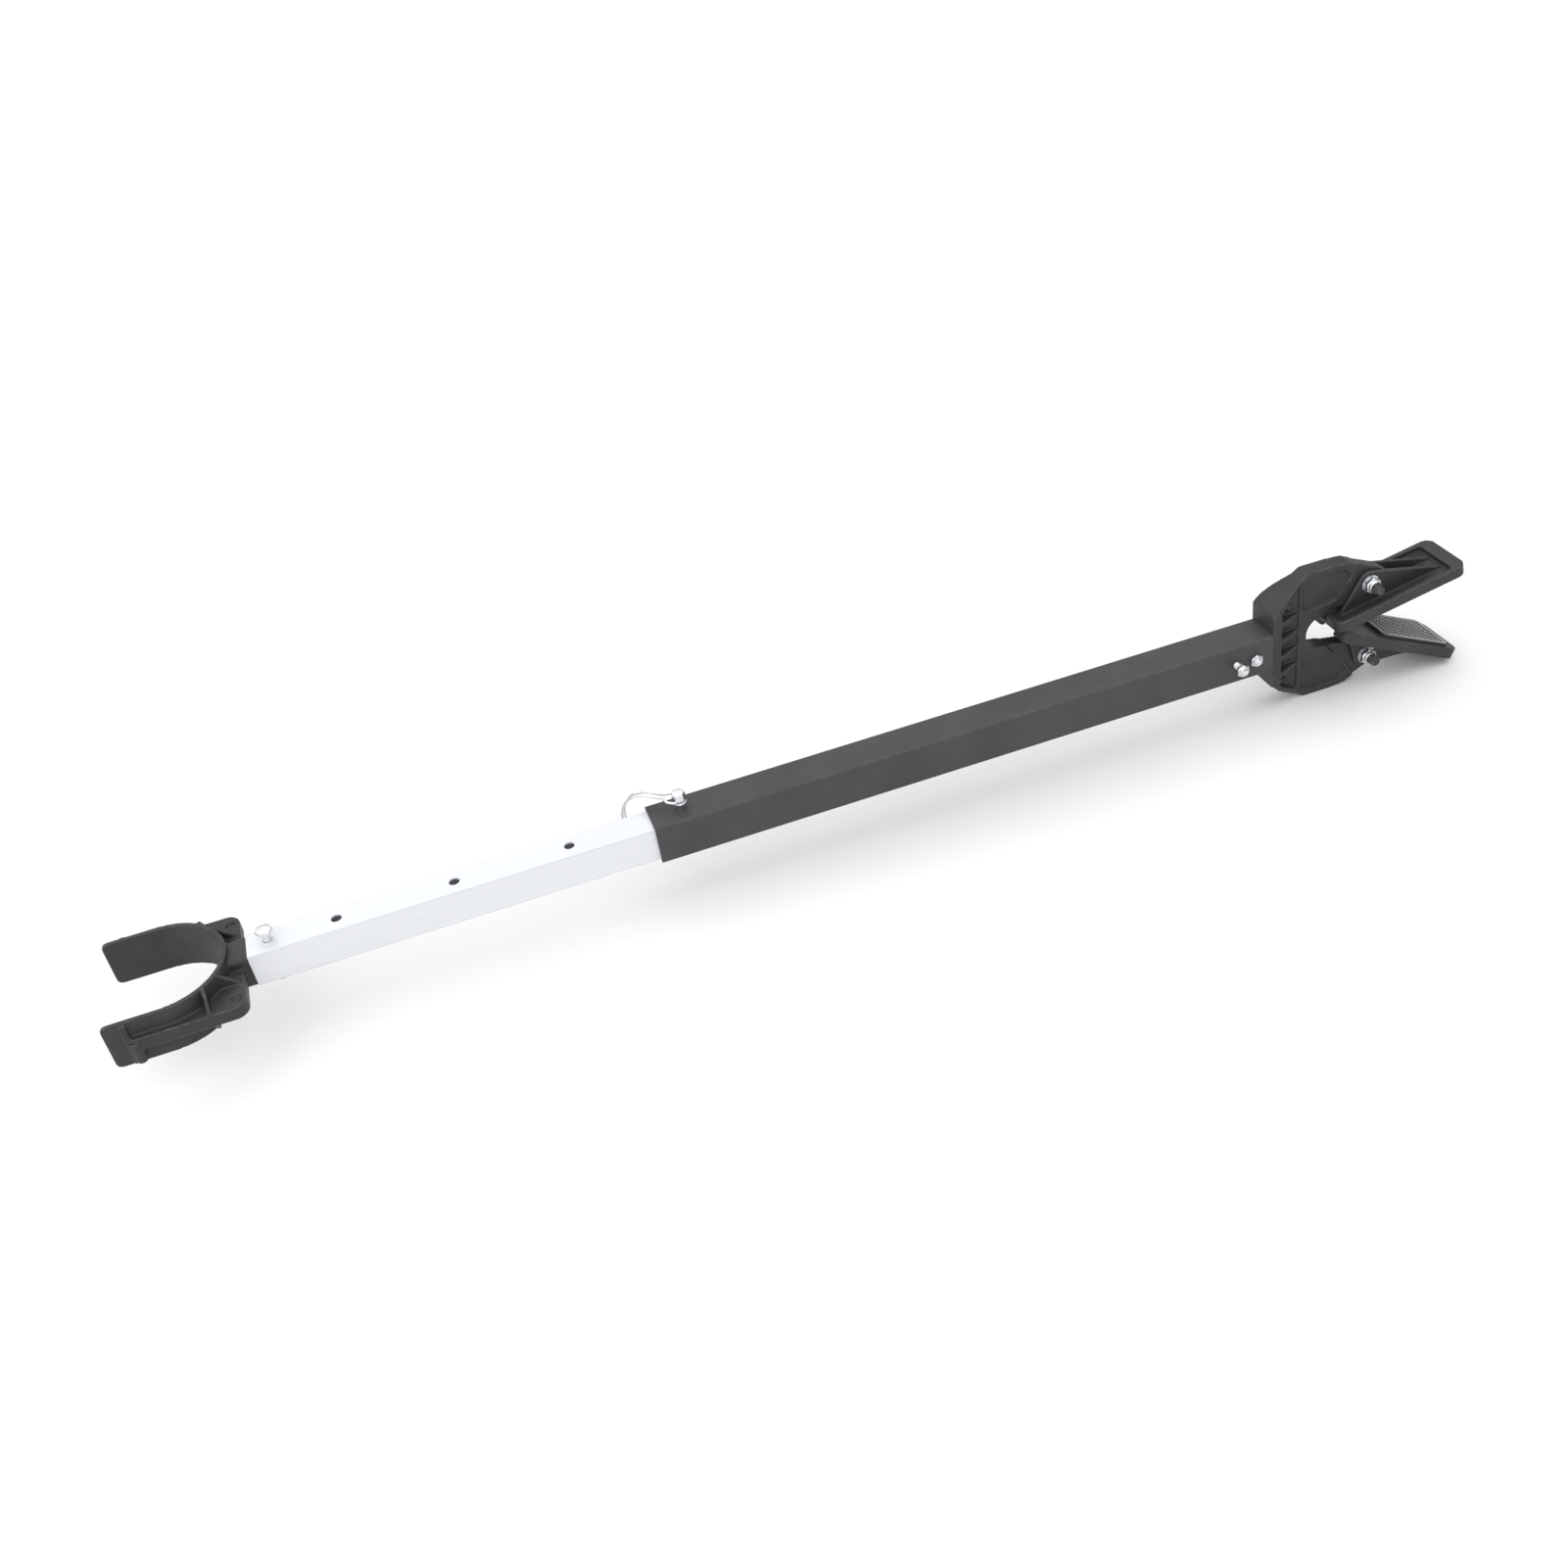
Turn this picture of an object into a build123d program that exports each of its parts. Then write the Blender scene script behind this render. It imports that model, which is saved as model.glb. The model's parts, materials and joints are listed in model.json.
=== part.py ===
from build123d import *
from math import cos, radians, sin
import os

# Telescoping support bar: a square inner tube with a U-fork slides in a square outer tube that
# carries a claw head with two swivelling gripping pads. Millimetres. The origin is the centre of
# the fork's saddle, +X runs along the bar towards the claw head and +Z is up.

# ---- tubes ----
outer_width = 38.1
outer_wall = 2.5
outer_length = 595.0
outer_corner = 2.5
tube_play = 0.55
inner_wall = 1.6
inner_corner = 1.6
inner_length = 546.0
hole_pitch = 101.6
hole_count = 5
first_hole = 76.2
adjust_hole_play = 0.78
mouth_to_pin = 28.6
locked_hole = 3

# ---- fork ----
saddle_radius = 53.0
saddle_wall = 4.0
tine_reach = 47.0
tine_height = 43.2
neck_length = 15.0
web_thickness = 12.0
web_lip = 6.0
web_back_gap = 6.0
web_corner = 12.0
neck_corner = 5.0
spigot_clearance = 0.3
fork_spigot_length = 42.0
fork_gusset = 3.0
fork_gusset_y = 32.0
fork_gusset_reach = 6.0
tine_rib_end = 32.0
tine_rib_taper = 7.0
tine_ridge_width = 5.0
tine_ridge_proud = 3.0
tine_ridge_height = 40.0
tine_corner = 5.0
cross_rib_x = 36.0
cross_rib_inset = 12.0
dimple_diameter = 8.4
dimple_depth = 2.2
dimple_y = 50.0
dimple_inset = 8.0
peg_diameter = 9.0
peg_length = 11.0
peg_x = -25.0
peg_gap = 0.2

# ---- claw head, measured from the outer tube's end ----
arm_thickness = 13.0
flange_thickness = 9.0
flange_shoulder = 36.0
flange_height = 46.0
flange_neck = 4.0
flange_corner = 5.0
jaw_rim_extra = 2.25
jaw_rim_band = 5.0
jaw_corner = 5.0
jaw_half_height = 66.5
jaw_throat_radius = 16.4
jaw_throat_x = 57.4
pocket_depth = 3.0
pocket_corner = 4.0
jaw_spigot_length = 55.0
jaw_gusset = 4.5
jaw_gusset_reach = 33.0
jaw_gusset_heights = (9.0, 27.0)
jaw_rim_end = 62.0
jaw_boss_diameter = 7.0
jaw_boss_proud = 1.6
jaw_boss_place = (22.0, 36.5)
pivot_x_offset = 103.9
pivot_rise = 38.5
arm_nose_radius = 19.0

# ---- gripping pads, measured from their pivot ----
pad_width = 60.0
pad_tail = 47.0
pad_tip = 89.0
pad_corner = 10.0
pad_rim_drop = 14.0
pad_floor_drop = 20.0
pad_face_drop = 25.0
pad_rim = 5.0
pad_tip_rim = 13.0
ear_thickness = 4.0
ear_gap = 0.6
ear_radius = 12.0
ear_tail = 32.0
ear_front = 73.0
upper_rest_angle = 10.0
lower_rest_angle = 25.5
grip_length = 81.0
grip_width = 52.0
grip_tail = -3.0
grip_seat = 2.0
grip_proud = 3.0
grip_corner = 7.0

# ---- fasteners ----
small_bolt = 6.35
small_head_flats = 11.1
small_head_height = 4.3
small_nut_height = 5.6
fork_bolt_size = 7.94
fork_bolt_flats = 12.7
fork_bolt_head = 3.6
fork_bolt_proud = 8.2
fork_bolt_inset = 18.0
pivot_bolt = 9.53
pivot_flats = 14.3
pivot_head_height = 6.0
pivot_nut_height = 8.3
pivot_tail = 8.0
washer_thickness = 1.6
bush_wall = 2.2
bolt_clearance = 0.2
pivot_clearance = 0.08
jaw_bolt_insets = (18.5, 37.5)
jaw_nut_standoff = (0.0, 8.5)
thread_tail = 3.0

# ---- lock pin ----
pin_diameter = 7.94
pin_head_diameter = 12.7
pin_head_height = 11.0
pin_neck_height = 3.5
pin_head_rise = 6.45
pin_tip_reach = 9.95
wire_diameter = 2.5
bail_clearance = 10.45
bail_angle = 40.0
bail_reach = 31.0
bail_gap = 5.2
bail_straight = 7.0
bail_draw_in = 17.0
bail_hook_reach = 22.0
slide_gap = 0.3

# ---- places that follow from the sizes above ----
outer_half = outer_width / 2
bore_half = outer_half - outer_wall
inner_half = bore_half - tube_play
inner_width = 2 * inner_half
adjust_hole = pin_diameter + 2 * adjust_hole_play
saddle_outer = saddle_radius + saddle_wall
web_half_width = saddle_outer + web_lip
tube_start = saddle_outer + neck_length
pin_head_base = outer_half + pin_head_rise
pin_tip_depth = outer_half + pin_tip_reach
bail_hinge_height = outer_half + bail_clearance
bail_drop = outer_width + 2 * bail_clearance
pin_x = tube_start + first_hole + locked_hole * hole_pitch
mouth_x = pin_x - mouth_to_pin
head_x = mouth_x + outer_length
pivot_x = head_x + pivot_x_offset
ear_inner = arm_thickness / 2 + ear_gap
ear_outer = ear_inner + ear_thickness

os.makedirs("parts", exist_ok=True)


def save(built, label):
    """Label a finished piece and write it under that name."""
    built.part.label = label
    export_step(built.part, "parts/" + label + ".step")


def hex_bolt(seat, size, flats, head_height, length):
    """A hexagon bolt on a plane: head along +z of the plane, shank along -z."""
    with BuildPart() as bolt:
        with BuildSketch(seat):
            RegularPolygon(flats / 2, 6, major_radius=False)
        extrude(amount=head_height)
        chamfer(bolt.faces().sort_by(Axis(seat.origin, seat.z_dir))[-1].edges(), head_height / 8)
        with BuildSketch(seat):
            Circle(size / 2)
        extrude(amount=-length)
        chamfer(bolt.faces().sort_by(Axis(seat.origin, seat.z_dir))[0].edges(), size / 10)
    return bolt


def hex_nut(seat, size, flats, height):
    """A hexagon nut that stands on a plane and grows along its +z."""
    with BuildPart() as nut:
        with BuildSketch(seat):
            RegularPolygon(flats / 2, 6, major_radius=False)
            Circle(size / 2 + bolt_clearance / 2, mode=Mode.SUBTRACT)
        extrude(amount=height)
        top = nut.faces().filter_by(GeomType.PLANE).sort_by(Axis(seat.origin, seat.z_dir))[-1]
        chamfer(top.outer_wire().edges(), height / 10)
    return nut


def washers(seats, size, outer):
    """Plain washers, each standing on its own plane."""
    with BuildPart() as rings:
        for seat in seats:
            with BuildSketch(seat):
                Circle(outer / 2)
                Circle(size / 2 + bolt_clearance / 2, mode=Mode.SUBTRACT)
            extrude(amount=washer_thickness)
    return rings


def facing(x, y, z, direction):
    """A plane at a point, with its normal along the given direction."""
    return Plane(origin=(x, y, z), z_dir=direction)


# ================= outer tube =================
with BuildPart() as outer_tube:
    with BuildSketch(Plane.YZ.offset(mouth_x)):
        RectangleRounded(outer_width, outer_width, outer_corner)
        RectangleRounded(2 * bore_half, 2 * bore_half, outer_corner / 2, mode=Mode.SUBTRACT)
    extrude(amount=outer_length)
    with BuildSketch(Plane.XY.offset(-outer_width)):
        with Locations((pin_x, 0)):
            Circle(pin_diameter / 2 + bolt_clearance)
    extrude(amount=2 * outer_width, mode=Mode.SUBTRACT)
    with BuildSketch(Plane.XZ.offset(-outer_width)):
        with Locations(*[(head_x - inset, 0) for inset in jaw_bolt_insets]):
            Circle(small_bolt / 2 + bolt_clearance)
    extrude(amount=2 * outer_width, mode=Mode.SUBTRACT)
save(outer_tube, "outer_tube")

# ================= inner tube =================
inner_bore_half = inner_half - inner_wall
with BuildPart() as inner_tube:
    with BuildSketch(Plane.YZ.offset(tube_start)):
        RectangleRounded(inner_width, inner_width, inner_corner)
        RectangleRounded(2 * inner_bore_half, 2 * inner_bore_half, inner_corner / 2, mode=Mode.SUBTRACT)
    extrude(amount=inner_length)
    with BuildSketch(Plane.XY.offset(-inner_width)):
        with Locations(*[(tube_start + first_hole + n * hole_pitch, 0) for n in range(hole_count)]):
            Circle(adjust_hole / 2)
        with Locations((tube_start + fork_bolt_inset, 0)):
            Circle(fork_bolt_size / 2 + bolt_clearance)
    extrude(amount=2 * inner_width, mode=Mode.SUBTRACT)
save(inner_tube, "inner_tube")

# ================= end plug of the inner tube =================
plug_flange = 3.0
plug_depth = 22.0
plug_wall = 2.5
plug_half = inner_bore_half - spigot_clearance
plug_x = tube_start + inner_length
with BuildPart() as inner_tube_plug:
    with BuildSketch(Plane.YZ.offset(plug_x)):
        RectangleRounded(inner_width, inner_width, inner_corner)
    extrude(amount=plug_flange)
    with BuildSketch(Plane.YZ.offset(plug_x)):
        RectangleRounded(2 * plug_half, 2 * plug_half, inner_corner / 2)
        RectangleRounded(2 * (plug_half - plug_wall), 2 * (plug_half - plug_wall), inner_corner / 2,
                         mode=Mode.SUBTRACT)
    extrude(amount=-plug_depth)
save(inner_tube_plug, "inner_tube_plug")

# ================= fork =================
web_back = tube_start - web_back_gap
tine_half = tine_height / 2
fork_spigot_half = inner_bore_half - spigot_clearance
with BuildPart() as fork:
    # the U-shaped wall: a half ring that runs on into two straight tines
    with BuildSketch(Plane.XY.offset(-tine_half)):
        Circle(saddle_outer)
        with Locations((-tine_reach, 0)):
            Rectangle(2 * tine_reach, 2 * saddle_outer)
        Circle(saddle_radius, mode=Mode.SUBTRACT)
        with Locations((-tine_reach, 0)):
            Rectangle(2 * tine_reach, 2 * saddle_radius, mode=Mode.SUBTRACT)
        with Locations((-3 * tine_reach, 0)):
            Rectangle(4 * tine_reach, 4 * saddle_outer, mode=Mode.SUBTRACT)
    extrude(amount=tine_height)
    tips = fork.edges().filter_by(Axis.Y).group_by(Axis.X)[0]
    fillet(tips, tine_corner)
    # the flat web that backs the saddle and runs along the tines as a rib that tapers at its end
    rib_start = tine_rib_taper - tine_rib_end
    with BuildSketch(Plane.XY.offset(-web_thickness / 2)):
        with Locations((web_back / 2, 0)):
            RectangleRounded(web_back, 2 * web_half_width, web_corner)
        with BuildLine():
            Polyline((web_corner, web_half_width), (rib_start, web_half_width), (-tine_rib_end, saddle_outer),
                     (-tine_rib_end, -saddle_outer), (rib_start, -web_half_width),
                     (web_corner, -web_half_width), close=True)
        make_face()
        Circle(saddle_radius + saddle_wall / 2, mode=Mode.SUBTRACT)
        with Locations((-tine_reach / 2, 0)):
            Rectangle(tine_reach, 2 * saddle_radius + saddle_wall, mode=Mode.SUBTRACT)
    extrude(amount=web_thickness)
    # ridges across the tines where the ribs end, and the strap pegs under the ribs
    ridge_y = saddle_outer + (tine_ridge_proud - saddle_wall / 2) / 2
    with BuildSketch(Plane.XY.offset(-tine_ridge_height / 2)):
        ridge_x = tine_ridge_width / 2 - tine_rib_end
        with Locations((ridge_x, ridge_y), (ridge_x, -ridge_y)):
            Rectangle(tine_ridge_width, tine_ridge_proud + saddle_wall / 2)
    extrude(amount=tine_ridge_height)
    peg_y = saddle_outer + peg_gap + peg_diameter / 2
    with BuildSketch(Plane.XY.offset(web_thickness / 4)):
        with Locations((peg_x, peg_y), (peg_x, -peg_y)):
            Circle(peg_diameter / 2)
    extrude(amount=-0.75 * web_thickness - peg_length)
    # cross ribs from the top and bottom of the wall down to the web's edge
    rib_top_y = saddle_radius - cross_rib_inset
    rib_break_y = saddle_outer - cross_rib_inset + 2
    rib_low_y = web_half_width - 1
    for side in (-1, 1):
        with BuildSketch(Plane.YZ.offset(cross_rib_x - fork_gusset / 2)):
            with BuildLine():
                Polyline((side * rib_top_y, tine_half), (side * rib_break_y, tine_half),
                         (side * rib_low_y, web_thickness / 2), (side * rib_low_y, -web_thickness / 2),
                         (side * rib_break_y, -tine_half), (side * rib_top_y, -tine_half), close=True)
            make_face()
        extrude(amount=fork_gusset)
    # gussets along X on each side of the neck
    for side in (-1, 1):
        with BuildSketch(Plane.XZ.offset(side * fork_gusset_y - fork_gusset / 2)):
            with BuildLine():
                Polyline((saddle_radius - fork_gusset_reach, tine_half), (web_back - 2, web_thickness / 2),
                         (web_back - 2, -web_thickness / 2), (saddle_radius - fork_gusset_reach, -tine_half),
                         close=True)
            make_face()
        extrude(amount=fork_gusset)
    # the neck behind the saddle and the spigot that enters the inner tube
    with BuildSketch(Plane.YZ.offset(saddle_radius + saddle_wall / 2)):
        RectangleRounded(inner_width, inner_width, neck_corner)
    extrude(amount=tube_start - saddle_radius - saddle_wall / 2)
    with BuildSketch(Plane.YZ.offset(tube_start)):
        RectangleRounded(2 * fork_spigot_half, 2 * fork_spigot_half, 1.0)
    extrude(amount=fork_spigot_length)
    # nothing stands inside the saddle
    with BuildSketch(Plane.XY.offset(-tine_height)):
        Circle(saddle_radius)
    extrude(amount=2 * tine_height, mode=Mode.SUBTRACT)
    # round dimples in the web and the cross hole for the bolt
    with BuildSketch(Plane.XY.offset(web_thickness / 2)):
        with Locations((web_back - dimple_inset, dimple_y), (web_back - dimple_inset, -dimple_y)):
            Circle(dimple_diameter / 2)
    extrude(amount=-dimple_depth, mode=Mode.SUBTRACT)
    with Locations((tube_start + fork_bolt_inset, 0, 0)):
        Hole(fork_bolt_size / 2 + bolt_clearance, depth=inner_width)
save(fork, "fork")

# ================= fork bolt, nut and washer =================
fork_bolt_x = tube_start + fork_bolt_inset
fork_seat = facing(fork_bolt_x, 0, inner_half + fork_bolt_proud, (0, 0, 1))
fork_nut_seat = facing(fork_bolt_x, 0, -inner_half - washer_thickness, (0, 0, -1))
fork_bolt_length = 2 * inner_half + fork_bolt_proud + washer_thickness + small_nut_height + thread_tail
save(hex_bolt(fork_seat, fork_bolt_size, fork_bolt_flats, fork_bolt_head, fork_bolt_length), "fork_bolt")
save(hex_nut(fork_nut_seat, fork_bolt_size, fork_bolt_flats, small_nut_height), "fork_nut")
fork_washer_seat = facing(fork_bolt_x, 0, -inner_half, (0, 0, -1))
save(washers([fork_washer_seat], fork_bolt_size, fork_bolt_flats + 3), "fork_washer")

# ================= claw head =================
jaw_spigot_half = bore_half - spigot_clearance
nose_turn = radians(27)
nose_low = (pivot_x + arm_nose_radius * sin(nose_turn), pivot_rise - arm_nose_radius * cos(nose_turn))
jaw_rim_half = arm_thickness / 2 + jaw_rim_extra


def jaw_outline():
    """The claw's outline: half of it above the axis, mirrored, with its outer corners rounded."""
    throat_edge = (head_x + 52.0, 15.5)
    with BuildSketch() as outline:
        with BuildLine():
            inner = Polyline(throat_edge, (head_x + 80.0, 20.3), (pivot_x, pivot_rise - arm_nose_radius),
                             nose_low, (head_x + 130.0, 31.0))
            outer = Polyline(inner @ 1, (head_x + 128.0, 41.5), (head_x + 116.0, 50.0),
                             (head_x + 95.0, 59.5), (head_x + 83.0, 65.3), (head_x + 68.0, jaw_half_height),
                             (head_x + 40.0, jaw_half_height), (head_x + 8.0, 45.5), (head_x, 36.5))
            Line(outer @ 1, (head_x, 0))
            Line((head_x, 0), (head_x + jaw_throat_x - jaw_throat_radius, 0))
            RadiusArc((head_x + jaw_throat_x - jaw_throat_radius, 0), throat_edge, jaw_throat_radius)
        make_face()
        mirror(about=Plane.XZ)
        corners = outline.vertices().filter_by_position(Axis.X, head_x + 1, head_x + 96)
        fillet([corner for corner in corners if abs(corner.Y) > flange_height - 1], jaw_corner)
    return outline.sketch


outline = jaw_outline()
plate_plane = Plane(origin=(0, 0, 0), x_dir=(1, 0, 0), z_dir=(0, -1, 0))
# the claw's outer band, as wide as the tube beside the flange and narrower towards the arms
with BuildPart() as outer_band:
    with BuildSketch(plate_plane):
        add(outline)
        offset(amount=-jaw_rim_band, mode=Mode.SUBTRACT)
    extrude(amount=outer_half, both=True)
    with BuildSketch(Plane.XY.offset(-2 * jaw_half_height)):
        with BuildLine():
            Polyline((head_x, -outer_half), (head_x + flange_thickness, -outer_half),
                     (head_x + jaw_gusset_reach, -jaw_rim_half), (head_x + jaw_rim_end, -jaw_rim_half),
                     (head_x + jaw_rim_end, jaw_rim_half), (head_x + jaw_gusset_reach, jaw_rim_half),
                     (head_x + flange_thickness, outer_half), (head_x, outer_half), close=True)
        make_face()
    extrude(amount=4 * jaw_half_height, mode=Mode.INTERSECT)

# the thicker part of the plate, which stops short of the pads' ears
with BuildPart() as thick_plate:
    with BuildSketch(plate_plane):
        add(outline)
    extrude(amount=jaw_rim_half, both=True)
    with BuildSketch(plate_plane.offset(-outer_width)):
        with BuildLine():
            Polyline((head_x + jaw_gusset_reach - 1, 0), (head_x + jaw_rim_end, 0), (head_x + jaw_rim_end, 17),
                     (head_x + 85.0, 46.0), (head_x + 93.0, 55.0), (head_x + 93.0, jaw_half_height + 1),
                     (head_x + jaw_gusset_reach - 1, jaw_half_height + 1), close=True)
        make_face()
        mirror(about=Plane.XZ)
    extrude(amount=2 * outer_width, mode=Mode.INTERSECT)

with BuildPart() as jaw_frame:
    with BuildSketch(plate_plane):
        add(outline)
    extrude(amount=arm_thickness / 2, both=True)
    add(outer_band.part)
    add(thick_plate.part)
    # the broad flange at the tube's end
    flange_top = arm_thickness / 2 + flange_neck
    with BuildSketch(Plane.YZ.offset(head_x)) as flange_shape:
        with BuildLine():
            Polyline((outer_half, flange_shoulder), (flange_top, flange_height), (-flange_top, flange_height),
                     (-outer_half, flange_shoulder), (-outer_half, -flange_shoulder),
                     (-flange_top, -flange_height), (flange_top, -flange_height),
                     (outer_half, -flange_shoulder), close=True)
        make_face()
        fillet(flange_shape.vertices(), flange_corner)
    extrude(amount=flange_thickness)
    # the outer band's corners slope with the flange, and nothing stands outside the claw's outline
    with BuildSketch(Plane.YZ.offset(head_x - 1)):
        for side in (-1, 1):
            with BuildLine():
                Polyline((side * (outer_half + 1), flange_shoulder), (side * flange_top, jaw_half_height + 1),
                         (side * (outer_half + 1), jaw_half_height + 1), close=True)
            make_face()
        mirror(about=Plane.XZ)
    extrude(amount=jaw_gusset_reach, mode=Mode.SUBTRACT)
    with BuildSketch(plate_plane.offset(-outer_width)):
        with BuildLine():
            Polyline((head_x - 1, 37.5), (head_x - 1, 60), (head_x + 16, 60), (head_x + 9, 46.2), close=True)
        make_face()
        mirror(about=Plane.XZ)
    extrude(amount=2 * outer_width, mode=Mode.SUBTRACT)
    # triangular gussets between the flange and the arm plate
    for height in jaw_gusset_heights:
        for side in (-1, 1):
            with BuildSketch(Plane.XY.offset(side * height - jaw_gusset / 2)):
                with BuildLine():
                    Polyline((head_x + 4, -outer_half), (head_x + flange_thickness, -outer_half),
                             (head_x + jaw_gusset_reach, -jaw_rim_half),
                             (head_x + jaw_gusset_reach, jaw_rim_half),
                             (head_x + flange_thickness, outer_half), (head_x + 4, outer_half), close=True)
                make_face()
            extrude(amount=jaw_gusset)
    # round bosses in the hollows beside the outermost gussets
    with BuildSketch(plate_plane):
        for side in (-1, 1):
            with Locations((head_x + jaw_boss_place[0], side * jaw_boss_place[1])):
                Circle(jaw_boss_diameter / 2)
    extrude(amount=arm_thickness / 2 + jaw_boss_proud, both=True)
    # shallow pockets in both faces of each arm
    for face in (-1, 1):
        pocket_plane = Plane(origin=(0, face * jaw_rim_half, 0), x_dir=(1, 0, 0), z_dir=(0, face, 0))
        with BuildSketch(pocket_plane) as pockets:
            with BuildLine():
                Polyline((head_x + 36, face * 31), (head_x + 42, face * 27), (head_x + 76, face * 30.5),
                         (head_x + 86, face * 52), (head_x + 78, face * 59), (head_x + 46, face * 60),
                         (head_x + 36, face * 56), close=True)
            make_face()
            fillet(pockets.vertices(), pocket_corner)
            mirror(about=Plane.XZ)
        extrude(amount=-pocket_depth, mode=Mode.SUBTRACT)
    # the spigot inside the outer tube
    with BuildSketch(Plane.YZ.offset(head_x)):
        RectangleRounded(2 * jaw_spigot_half, 2 * jaw_spigot_half, 1.5)
    extrude(amount=-jaw_spigot_length)
    with BuildSketch(Plane.XZ.offset(-outer_width)):
        with Locations(*[(head_x - inset, 0) for inset in jaw_bolt_insets]):
            Circle(small_bolt / 2 + bolt_clearance)
        with Locations((pivot_x, pivot_rise), (pivot_x, -pivot_rise)):
            Circle(pivot_bolt / 2 + bush_wall + pivot_clearance)
    extrude(amount=2 * outer_width, mode=Mode.SUBTRACT)
save(jaw_frame, "jaw_frame")

# ================= claw bolts through the outer tube =================
jaw_washer_seats = []
for name, inset, standoff in zip(("inboard", "outboard"), jaw_bolt_insets, jaw_nut_standoff):
    bolt_x = head_x - inset
    far_seat = facing(bolt_x, outer_half + washer_thickness, 0, (0, 1, 0))
    nut_seat = facing(bolt_x, -outer_half - standoff, 0, (0, -1, 0))
    jaw_bolt_length = outer_width + washer_thickness + standoff + small_nut_height + thread_tail / 2
    save(hex_bolt(far_seat, small_bolt, small_head_flats, small_head_height, jaw_bolt_length), "jaw_bolt_" + name)
    save(hex_nut(nut_seat, small_bolt, small_head_flats, small_nut_height), "jaw_nut_" + name)
    jaw_washer_seats.append(facing(bolt_x, outer_half, 0, (0, 1, 0)))
save(washers(jaw_washer_seats, small_bolt, small_head_flats + 3), "jaw_bolt_washers")


# ================= gripping pads =================
def pad_plane(side, rest_angle):
    """The pad's own plane: x along the pad, y outwards from its gripping face, z across the bar."""
    turn = radians(rest_angle)
    along = (cos(turn), 0, side * sin(turn))
    return Plane(origin=(pivot_x, 0, side * pivot_rise), x_dir=along, z_dir=(0, -side, 0))


def build_pad(side, rest_angle):
    """A tray with a raised rim and two triangular ears that straddle the arm."""
    frame = pad_plane(side, rest_angle)
    outwards = Vector(*frame.y_dir)
    tray_plane = Plane(origin=frame.origin - outwards * pad_face_drop, x_dir=frame.x_dir, z_dir=frame.y_dir)
    floor_plane = Plane(origin=frame.origin - outwards * pad_floor_drop, x_dir=frame.x_dir, z_dir=frame.y_dir)
    length = pad_tail + pad_tip
    with BuildPart() as pad:
        with BuildSketch(tray_plane):
            with Locations((pad_tip - length / 2, 0)):
                RectangleRounded(length, pad_width, pad_corner)
        extrude(amount=pad_face_drop - pad_rim_drop)
        with BuildSketch(floor_plane):
            with Locations((pad_tip - length / 2 + (pad_rim - pad_tip_rim) / 2, 0)):
                RectangleRounded(length - pad_rim - pad_tip_rim, pad_width - 2 * pad_rim, pad_corner - pad_rim)
            with Locations((-pad_tail, 0)):
                Rectangle(2 * pad_rim + 2, 2 * jaw_rim_half + 3)
        extrude(amount=pad_face_drop, mode=Mode.SUBTRACT)
        for offset in (ear_inner, -ear_outer):
            with BuildSketch(frame.offset(offset)):
                with BuildLine():
                    Polyline((-ear_tail, -pad_floor_drop - 1), (ear_front, -pad_floor_drop - 1),
                             (ear_front, -pad_floor_drop + 2), (ear_radius * 0.35, ear_radius * 0.937),
                             (-ear_radius * 0.87, ear_radius * 0.5), (-ear_tail, -pad_floor_drop + 2), close=True)
                make_face()
                Circle(ear_radius)
            extrude(amount=ear_thickness)
        with BuildSketch(frame.offset(-pad_width)):
            Circle(pivot_bolt / 2 + pivot_clearance)
        extrude(amount=2 * pad_width, mode=Mode.SUBTRACT)
        with BuildSketch(tray_plane):
            with Locations((grip_tail + grip_length / 2, 0)):
                RectangleRounded(grip_length + 0.6, grip_width + 0.6, grip_corner)
        extrude(amount=grip_seat, mode=Mode.SUBTRACT)
    return pad


def build_grip(side, rest_angle):
    """The rubber grip block set into the pad's gripping face."""
    frame = pad_plane(side, rest_angle)
    outwards = Vector(*frame.y_dir)
    seat = Plane(origin=frame.origin - outwards * (pad_face_drop - grip_seat), x_dir=frame.x_dir,
                 z_dir=frame.y_dir * -1)
    with BuildPart() as grip:
        with BuildSketch(seat):
            with Locations((grip_tail + grip_length / 2, 0)):
                RectangleRounded(grip_length, grip_width, grip_corner)
        extrude(amount=grip_seat + grip_proud)
        chamfer(grip.faces().sort_by(Axis(seat.origin, seat.z_dir))[-1].edges(), 1.0)
    return grip


for side, level, rest_angle in ((1, "upper", upper_rest_angle), (-1, "lower", lower_rest_angle)):
    pivot_z = side * pivot_rise
    save(build_pad(side, rest_angle), level + "_pad")
    save(build_grip(side, rest_angle), level + "_grip")
    stack = ear_outer + washer_thickness
    bolt_seat = facing(pivot_x, stack, pivot_z, (0, 1, 0))
    nut_seat = facing(pivot_x, -stack, pivot_z, (0, -1, 0))
    pivot_length = 2 * stack + pivot_nut_height + pivot_tail
    save(hex_bolt(bolt_seat, pivot_bolt, pivot_flats, pivot_head_height, pivot_length), level + "_pivot_bolt")
    save(hex_nut(nut_seat, pivot_bolt, pivot_flats, pivot_nut_height), level + "_pivot_nut")
    rings = [facing(pivot_x, ear_outer, pivot_z, (0, 1, 0)), facing(pivot_x, -ear_outer, pivot_z, (0, -1, 0))]
    save(washers(rings, pivot_bolt, pivot_flats + 3), level + "_pivot_washers")
    with BuildPart() as bush:
        with BuildSketch(Plane.XZ.offset(-ear_inner + ear_gap / 2)):
            with Locations((pivot_x, pivot_z)):
                Circle(pivot_bolt / 2 + bush_wall)
                Circle(pivot_bolt / 2 + pivot_clearance, mode=Mode.SUBTRACT)
        extrude(amount=2 * ear_inner - ear_gap)
    save(bush, level + "_pivot_bush")

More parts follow.
